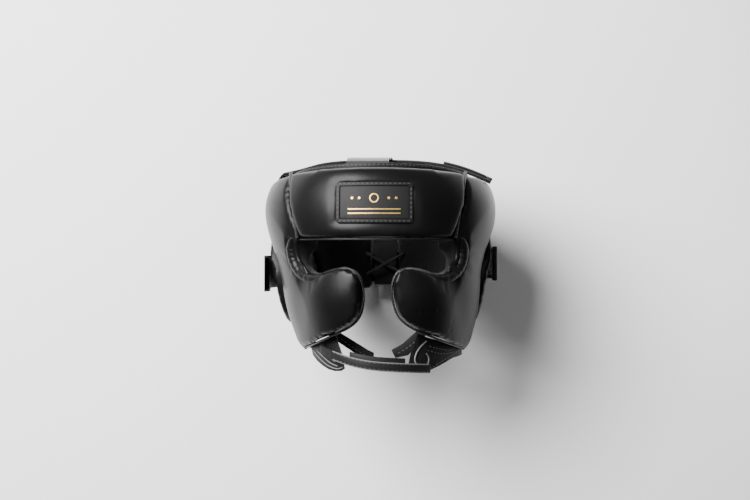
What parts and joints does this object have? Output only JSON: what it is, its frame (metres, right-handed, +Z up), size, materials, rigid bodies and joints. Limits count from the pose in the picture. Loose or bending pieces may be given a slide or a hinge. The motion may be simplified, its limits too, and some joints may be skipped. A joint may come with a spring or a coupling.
{
  "type": "boxing headgear",
  "caption": "Padded boxing headgear with cheek guards, ear pads, laced back, crown straps and an adjustable chin strap; worn over the head for sparring.",
  "frame": {"origin": "middle of the head space, level with the bridge of the wearer's nose", "axes": "+Z up through the crown as worn, -Y out of the face, +X to the wearer's left"},
  "size_m": [0.2386, 0.2634, 0.2149],
  "materials": {
    "leather": "smooth, half gloss",
    "lining": "brushed",
    "foam": "matt",
    "webbing": "woven",
    "hook_and_loop": "matt",
    "cord": "braided",
    "eyelet": "satin",
    "ornament": "foil"
  },
  "bodies": {
    "headgear": {"cheek_cover_left": "leather", "cheek_cover_right": "leather", "cheek_foam_left": "foam", "cheek_foam_right": "foam", "cheek_lining_left": "lining", "cheek_lining_right": "lining", "chin_flap_left": "leather", "chin_flap_right": "leather", "chin_loop_patch": "hook_and_loop", "chin_strap_foot": "leather", "chin_tab_left": "leather", "chin_tab_right": "leather", "crown_binding": "leather", "crown_strap": "webbing", "ear_cover_left": "leather", "ear_cover_right": "leather", "ear_foam_left": "foam", "ear_foam_right": "foam", "ear_lining_left": "lining", "ear_lining_right": "lining", "fore_aft_strap": "webbing", "forehead_cover": "leather", "forehead_foam": "foam", "forehead_lining": "lining", "forehead_patch": "leather", "lace": "cord", "lace_eyelets": "eyelet", "lace_gusset": "leather", "patch_frame": "leather", "patch_ornament": "ornament", "rear_cover_left": "leather", "rear_cover_right": "leather", "rear_foam_left": "foam", "rear_foam_right": "foam", "rear_lining_left": "lining", "rear_lining_right": "lining", "rear_loop_patch": "hook_and_loop", "rear_strap": "webbing", "rear_strap_keeper": "leather"},
    "crown_strap_end": {"crown_strap_tail": "webbing"},
    "rear_strap_end": {"rear_strap_tail": "webbing", "rear_hook_patch": "hook_and_loop"},
    "chin_strap": {"chin_strap": "leather", "chin_strap_back": "leather", "chin_hook_patch": "hook_and_loop"},
    "inner_chin_strap_left": {"inner_chin_strap_left": "leather"},
    "inner_chin_strap_right": {"inner_chin_strap_right": "leather"}
  },
  "joints": [
    {"name": "crown_strap_peel", "type": "hinge", "parent": "headgear", "child": "crown_strap_end", "pos_m": [0.10815, 0, 0.0877], "axis": [0, 1, 0], "range_deg": [0, 110]},
    {"name": "rear_strap_peel", "type": "hinge", "parent": "headgear", "child": "rear_strap_end", "pos_m": [0.1008, 0.06215, -0.002], "axis": [0, 0, 1], "range_deg": [0, 70]},
    {"name": "chin_strap_open", "type": "hinge", "parent": "headgear", "child": "chin_strap", "pos_m": [-0.04415, -0.0889, -0.1015], "axis": [0, 0, -1], "range_deg": [0, 100]},
    {"name": "inner_left_swing", "type": "hinge", "parent": "headgear", "child": "inner_chin_strap_left", "pos_m": [0.0475, -0.05875, -0.065], "axis": [1, 0, 0], "range_deg": [0, 45]},
    {"name": "inner_right_swing", "type": "hinge", "parent": "headgear", "child": "inner_chin_strap_right", "pos_m": [-0.0475, -0.05875, -0.068], "axis": [1, 0, 0], "range_deg": [0, 45]}
  ]
}
